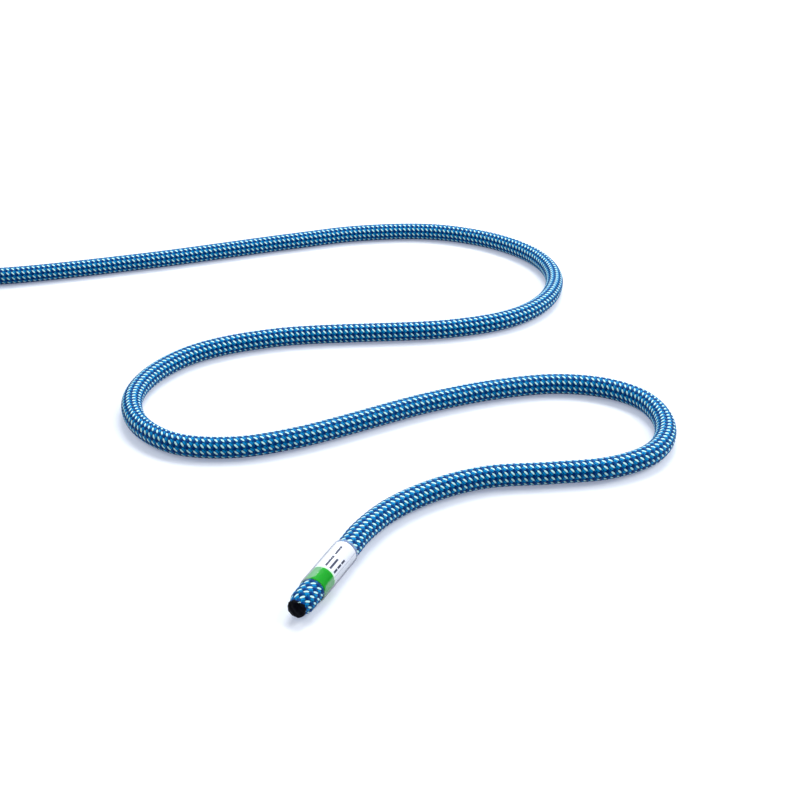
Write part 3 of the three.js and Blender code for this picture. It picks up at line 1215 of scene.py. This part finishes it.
@dataclass
class RopeEnd:
    """What sits on one end of the rope: the melted crown, the printed label and the clear sleeve.

    The cuts, the start of the hem and the span of the flare are shares of the hem's width. A wave
    is given by its height, its count round the rope and where it starts.
    """

    letter: str
    line: RopeLine
    segments: int = 64
    slices: int = 24
    label_snug: float = 0.17 * MM
    film_snug: float = 0.102 * MM
    drawn_in: float = 0.3 * MM
    drawn_length: float = 1.4 * MM
    smooth_below: float = math.radians(40)
    crown_segments: int = 48
    crown_radius: float = 3.85 * MM
    crown_rings: int = 4
    crown_rise: float = 0.16 * MM
    crown_bulge: float = 0.8 * MM
    bulge_power: float = 2.5
    crown_overhang: float = 0.9 * MM
    hem: float = 2.3 * MM
    hem_cuts: Span = (0.35, 0.7)
    hem_start: float = 0.25
    hem_jag: float = 1.05 * MM
    hem_waves: tuple[Point, ...] = ((0.45, 5, 1), (0.35, 11, 0), (0.2, 17, 2))
    outline_waves: tuple[Point, ...] = ((0.03, 2, 1), (0.022, 3, 0))
    flare: float = 0.045
    flare_span: Span = (0.1, 0.5)
    side_start: float = 0.6
    lump: float = 0.014
    dimple: float = 0.2 * MM
    dimple_rates: Span = (1900, 1500)

    def wrap(
        self, name: str, start: float, length: float, radius: float, wall: float
    ) -> bpy.types.Object:
        """An open cylinder along X, cut into slices and given its wall.

        Args:
            name: The piece's name.
            start: Distance of its near edge from the rope's very end.
            length: Its length.
            radius: Its inner radius.
            wall: Its thickness, outwards.

        Returns:
            The wrap, still along the X axis.
        """
        Bench.clear()
        bpy.ops.mesh.primitive_cylinder_add(
            vertices=self.segments, radius=radius, depth=length, end_fill_type="NOTHING",
            location=(start + length / 2, 0, 0), rotation=(0, math.pi / 2, 0),
        )
        piece = Bench.named(name)
        Bench.settle(piece)
        Bench.slice(piece, [start + length * cut / self.slices for cut in range(1, self.slices)])

        def place(points: np.ndarray) -> np.ndarray:
            """Shares of the wrap's length and of the way round it."""
            turn = polar(points)[0] / (2 * math.pi)
            return np.stack([(points[:, 0] - start) / length, np.mod(turn, 1.0)], 1)

        Bench.map_surface(piece, "wrap", place)
        Bench.finish(piece, "SOLIDIFY", thickness=wall, offset=1.0)
        Bench.smooth(piece, self.smooth_below)
        return piece

    def crown(self) -> bpy.types.Object:
        """The melted end's plain form: a disc with a hem along X, rounded by subdivision.

        Returns:
            The crown, before heat has made it uneven.
        """
        Bench.clear()
        bpy.ops.mesh.primitive_cylinder_add(
            vertices=self.crown_segments, radius=self.crown_radius, depth=self.hem,
            end_fill_type="NGON", location=(self.hem / 2, 0, 0), rotation=(0, -math.pi / 2, 0),
        )
        piece = Bench.named(f"melted_end_{self.letter}")
        Bench.settle(piece)
        Bench.pick(piece, lambda face: face.normal.x < -0.9)
        ring_width = self.crown_radius / (self.crown_rings + 1.5)
        for ring in range(self.crown_rings):
            bpy.ops.mesh.inset(thickness=ring_width)
            bpy.ops.transform.translate(value=(-self.crown_rise / (ring + 1), 0, 0))
        bpy.ops.mesh.poke()
        Bench.slice(piece, [self.hem * share for share in self.hem_cuts])
        Bench.finish(piece, "SUBSURF", levels=2, render_levels=2)
        return piece

    def melt(self, crown: bpy.types.Object) -> None:
        """Gives the crown a dome, lumps and dimples, and a hem that runs unevenly up the rope.

        Args:
            crown: The melted end, still along the X axis.
        """
        points = vertices_of(crown)
        angle, radius = polar(points)
        toward_hem = smooth(points[:, 0], self.hem_start * self.hem, self.hem)
        points[:, 0] += self.hem_jag * waves(angle, self.hem_waves) * toward_hem
        lumps = np.sin(4 * angle + 900 * points[:, 0]) * np.sin(7 * angle + 1.7)
        lumps += 0.5 * np.sin(13 * angle)
        flare = smooth(points[:, 0], *(share * self.hem for share in self.flare_span))
        flare *= smooth(radius, 0, self.crown_radius)
        uneven = self.flare * flare + self.lump * lumps + waves(angle, self.outline_waves)
        points[:, 1:] *= (1 + uneven * (radius > self.side_start * self.crown_radius))[:, None]
        wide, high = self.dimple_rates
        dimples = np.sin(wide * points[:, 1] + 0.6) * np.sin(high * points[:, 2] + 1.1)
        points[:, 0] += self.dimple * dimples * (1 - toward_hem)
        domed = np.clip(radius / self.crown_radius, 0, 1) ** self.bulge_power * (1 - toward_hem)
        points[:, 0] += self.crown_bulge * domed - self.crown_overhang
        write_vertices(crown, points)
        Bench.take(crown)
        bpy.ops.object.shade_smooth()

    def shrink(self, sleeve: bpy.types.Object) -> None:
        """Draws the sleeve in at both edges, where the film has shrunk onto the rope.

        Args:
            sleeve: The clear sleeve, still along the X axis.
        """
        points = vertices_of(sleeve)
        from_start = points[:, 0] - SLEEVE_FROM_END
        from_edge = np.minimum(from_start, SLEEVE_LENGTH - from_start)
        drawn = self.drawn_in * (1 - smooth(from_edge, 0, self.drawn_length))
        _, radius = polar(points)
        points[:, 1:] *= ((radius - drawn) / radius)[:, None]
        write_vertices(sleeve, points)

    def build(self) -> list[bpy.types.Object]:
        """Models the three pieces, lays them on the rope and dresses them.

        Returns:
            The pieces, from the rope's end inwards.
        """
        crown = self.crown()
        self.melt(crown)
        label = self.wrap(
            f"printed_label_{self.letter}", LABEL_FROM_END, LABEL_LENGTH,
            LABEL_INNER - self.label_snug, LABEL_OUTER - LABEL_INNER,
        )
        sleeve = self.wrap(
            f"film_sleeve_{self.letter}", SLEEVE_FROM_END, SLEEVE_LENGTH,
            SLEEVE_INNER - self.film_snug, SLEEVE_OUTER - SLEEVE_INNER,
        )
        self.shrink(sleeve)
        for piece in (crown, label, sleeve):
            self.line.bend(piece)
        dress(crown, MeltedFinish().material(), "melted_nylon", f"sealed_end_{self.letter}")
        dress(label, LabelFinish().material(), "label_paper", f"label_{self.letter}")
        dress(sleeve, FilmFinish().material(), "clear_film", f"clear_sleeve_{self.letter}")
        return [crown, label, sleeve]


# ------------------------------------------------------------------ the storage ties


@dataclass
class StorageTie:
    """One strap round the bundle: spun round its corners, and lapped over itself on top.

    The first strap lies coil_steps_in facets along the coil, and the others are spread evenly.
    """

    number: int
    winding: Winding
    corner: float = 4.6 * MM
    corner_steps: int = 6
    lap_inset: float = 4 * MM
    lap_rise: float = 1.25 * TIE_THICKNESS
    ramp: float = 5 * MM
    rounding: float = 0.22 * MM
    round_above: float = math.radians(50)
    smooth_below: float = math.radians(35)
    weld: float = 0.02 * MM
    side_bias: float = 0.98
    coil_steps_in: float = 1.5

    def build(self, material: bpy.types.Material) -> None:
        """Models the strap in the coil's section plane and turns it to its place.

        Args:
            material: The straps' material.
        """
        inner = self.winding.inner_radius - ROPE_RADIUS - TIE_CLEARANCE
        outer = self.winding.outer_radius + ROPE_RADIUS + TIE_CLEARANCE
        top = COIL_HEIGHT + (LAYERS - 1) * TURN_PITCH + ROPE_RADIUS + TIE_CLEARANCE
        near, far = inner + self.corner, outer - self.corner
        lower, upper = TIE_THICKNESS + self.corner, top - self.corner
        lap_start = far - self.lap_inset - TIE_OVERLAP

        Bench.clear()
        bpy.ops.mesh.primitive_plane_add(
            size=1, location=(lap_start, 0, top + TIE_THICKNESS / 2), rotation=(0, math.pi / 2, 0)
        )
        piece = Bench.named(f"strap_{self.number}")
        piece.scale = (TIE_THICKNESS, TIE_WIDTH, 1)
        Bench.settle(piece)
        Bench.pick(piece, lambda face: True)
        # Each stretch round the bundle ends in a corner.
        for way, steps, centre in (
            ((far - lap_start, 0, 0), 12, (far, 0, upper)),
            ((0, 0, lower - upper), 8, (far, 0, lower)),
            ((near - far, 0, 0), 14, (near, 0, lower)),
            ((0, 0, upper - lower), 8, (near, 0, upper)),
        ):
            self.straight(way, steps)
            self.turn(centre)
        # The last stretch climbs a ramp, is level again half a ramp before the first, and laps it.
        self.straight((lap_start - 1.5 * self.ramp - near, 0, 0), 4)
        self.straight((self.ramp, 0, self.lap_rise), 4)
        self.straight((0.5 * self.ramp + TIE_OVERLAP, 0, 0), 12)
        bpy.ops.mesh.select_all(action="SELECT")
        bpy.ops.mesh.remove_doubles(threshold=self.weld)
        bpy.ops.mesh.normals_make_consistent(inside=False)
        bpy.ops.object.mode_set(mode="OBJECT")
        self.map_strap(piece, inner, outer, top)
        Bench.finish(
            piece, "BEVEL", width=self.rounding, segments=2, limit_method="ANGLE",
            angle_limit=self.round_above,
        )
        Bench.smooth(piece, self.smooth_below)
        self.to_place(piece)
        dress(piece, material, "tie_webbing", f"storage_tie_{self.number}")

    def straight(self, way: Point, steps: int) -> None:
        """Extrudes the strap's end along a straight stretch.

        Args:
            way: The whole stretch.
            steps: How many faces long it is.
        """
        part = tuple(length / steps for length in way)
        for _ in range(steps):
            bpy.ops.mesh.extrude_region_move(TRANSFORM_OT_translate={"value": part})

    def turn(self, centre: Point) -> None:
        """Spins the strap's end a quarter turn round a corner."""
        bpy.ops.mesh.spin(
            steps=self.corner_steps, angle=math.pi / 2, center=centre, axis=(0, -1, 0), dupli=False
        )

    def map_strap(self, piece: bpy.types.Object, inner: float, outer: float, top: float) -> None:
        """Writes the strap's own UV map in metres: round the bundle, and across the strap.

        Args:
            piece: The strap, still in the coil's section plane.
            inner: Where its near side is along the X axis.
            outer: Where its far side is.
            top: How high its top side is.
        """
        middle = np.array([(inner + outer) / 2, (top + TIE_THICKNESS) / 2])
        half = np.array([(outer - inner) / 2, (top - TIE_THICKNESS) / 2])

        def place(points: np.ndarray) -> np.ndarray:
            """The way along the side of the bundle that a point is on, and across the strap."""
            offset = (points[:, [0, 2]] - middle) / half
            on_side = np.abs(offset[:, 0]) > np.abs(offset[:, 1]) * self.side_bias
            run = np.where(on_side, points[:, 2], points[:, 0])
            return np.stack([run, points[:, 1]], 1)

        Bench.map_surface(piece, "strap", place)

    def to_place(self, piece: bpy.types.Object) -> None:
        """Turns the strap about the coil's axis to its own place.

        Args:
            piece: The strap, still in the coil's section plane.
        """
        share = self.coil_steps_in / STEPS_PER_TURN + (self.number - 1) / TIE_COUNT
        angle = self.winding.start_angle + 2 * math.pi * share
        centre = Vector((self.winding.centre[0], self.winding.centre[1], 0))
        piece.matrix_world = Matrix.Translation(centre) @ Matrix.Rotation(angle, 4, "Z")
        Bench.settle(piece)


# ------------------------------------------------------------------ floor, light and camera


@dataclass(frozen=True)
class Lamp:
    """A square soft light, with its place seen from the middle of the loose run."""

    name: str
    place: Point
    size: float
    power: float
    colour: Colour = (0.94, 0.975, 1.0)

    def build(self, target: Vector) -> None:
        """Adds the lamp, which faces the target.

        Args:
            target: The middle of the loose run.
        """
        data = bpy.data.lights.new(self.name, "AREA")
        data.size, data.energy, data.color = self.size, self.power, self.colour
        lamp = stand(self.name, data)
        lamp.location = target + Vector(self.place)
        lamp.rotation_euler = (-Vector(self.place)).to_track_quat("-Z", "Y").to_euler()


@dataclass
class Studio:
    """A plain white floor, soft light and the camera at the photograph's angle.

    Angles are in radians. The floor's far colour takes over from its glow between the two
    distances of fade.
    """

    camera_foot: np.ndarray
    camera_height: float = 0.33393
    pitch: float = 0.481718
    roll: float = -0.009018
    focal_pixels: float = 1368.59
    image_pixels: int = 800
    sensor: float = 36.0
    clip: Span = (0.01, 50)
    target_distance: float = 0.66
    floor_size: float = 24
    floor_colour: Colour = (0.7, 0.7, 0.7)
    floor_bounce: Colour = (0.36, 0.38, 0.42)
    floor_glow: Colour = (0.24, 0.27, 0.36)
    floor_far: Colour = (0.9, 0.92, 0.95)
    fade: Span = (0.9, 2.6)
    surround_colour: Colour = (0.95, 0.98, 1.0)
    surround_light: float = 0.42
    surround_seen: float = 1.05
    lamps: tuple[Lamp, ...] = (
        Lamp("back", (0.25, 1.3, 1.9), 1.3, 48.0),
        Lamp("left", (-1.4, 0.1, 1.3), 1.0, 9.0),
        Lamp("right", (1.4, 0.1, 1.3), 1.0, 22.0),
    )

    def camera(self) -> None:
        """Adds the camera."""
        data = bpy.data.cameras.new("camera")
        data.sensor_width = self.sensor
        data.lens = self.focal_pixels / self.image_pixels * self.sensor
        data.clip_start, data.clip_end = self.clip
        camera = stand("camera", data)
        place = Matrix.Translation((self.camera_foot[0], self.camera_foot[1], self.camera_height))
        tilt = Matrix.Rotation(math.pi / 2 - self.pitch, 4, "X")
        camera.matrix_world = place @ tilt @ Matrix.Rotation(self.roll, 4, "Z")
        bpy.context.scene.camera = camera

    def floor(self) -> None:
        """Adds the floor: white, with a cool shadow. Its glow shows to the eye and lights nothing."""
        Bench.clear()
        bpy.ops.mesh.primitive_plane_add(size=self.floor_size, location=(0, 0, 0))
        floor = Bench.named("floor")
        recipe = Recipe("floor_white", Specular_IOR_Level=0.0)
        rays = recipe.node("ShaderNodeLightPath").outputs
        seen = Value(recipe, rays["Is Camera Ray"])
        for kind in ("Is Glossy Ray", "Is Transmission Ray"):
            seen = recipe.maths("MAXIMUM", seen, Value(recipe, rays[kind]))
        recipe.drive(Base_Color=recipe.mix(seen, self.floor_bounce, self.floor_colour))
        colour = recipe.mix(recipe.distance().step(*self.fade), self.floor_glow, self.floor_far)
        glow = recipe.node("ShaderNodeEmission", None, {"Color": colour, "Strength": seen})
        shaders = {0: recipe.shader.outputs[0], 1: glow.outputs[0]}
        both = recipe.node("ShaderNodeAddShader", None, shaders)
        recipe.feed(recipe.tree.nodes["Material Output"].inputs["Surface"], both.outputs[0])
        floor.data.materials.append(recipe.material)

    def world(self) -> None:
        """Sets a pale surround that the camera sees as white."""
        world = bpy.data.worlds.new("surround")
        world.use_nodes = True
        back = world.node_tree.nodes["Background"]
        back.inputs["Color"].default_value = (*self.surround_colour, 1)
        rays = world.node_tree.nodes.new("ShaderNodeLightPath")
        level = world.node_tree.nodes.new("ShaderNodeMapRange")
        level.inputs["To Min"].default_value = self.surround_light
        level.inputs["To Max"].default_value = self.surround_seen
        world.node_tree.links.new(rays.outputs["Is Camera Ray"], level.inputs["Value"])
        world.node_tree.links.new(level.outputs["Result"], back.inputs["Strength"])
        bpy.context.scene.world = world

    def build(self) -> None:
        """Adds everything round the rope."""
        self.camera()
        self.floor()
        self.world()
        target = Vector((self.camera_foot[0], self.camera_foot[1] + self.target_distance, 0))
        for lamp in self.lamps:
            lamp.build(target)
        bpy.context.scene.view_settings.view_transform = "Standard"


def main() -> None:
    """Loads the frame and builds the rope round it."""
    logging.basicConfig(level=logging.INFO, format="%(name)s: %(message)s")
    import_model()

    route = Route()
    LOG.info("rope of %.3f m, loose run %.3f m", route.line.length, route.coil_start)
    Studio(route.camera_foot).build()
    ends = {"a": RopeEnd("a", route.line).build(), "b": RopeEnd("b", route.back).build()}
    Sheath(route, Weave()).build(ends)
    Core(route).build()
    webbing = WebbingFinish().material()
    for number in range(1, TIE_COUNT + 1):
        StorageTie(number, route.winding).build(webbing)

    bpy.context.view_layer.update()


if __name__ == "__main__":
    main()
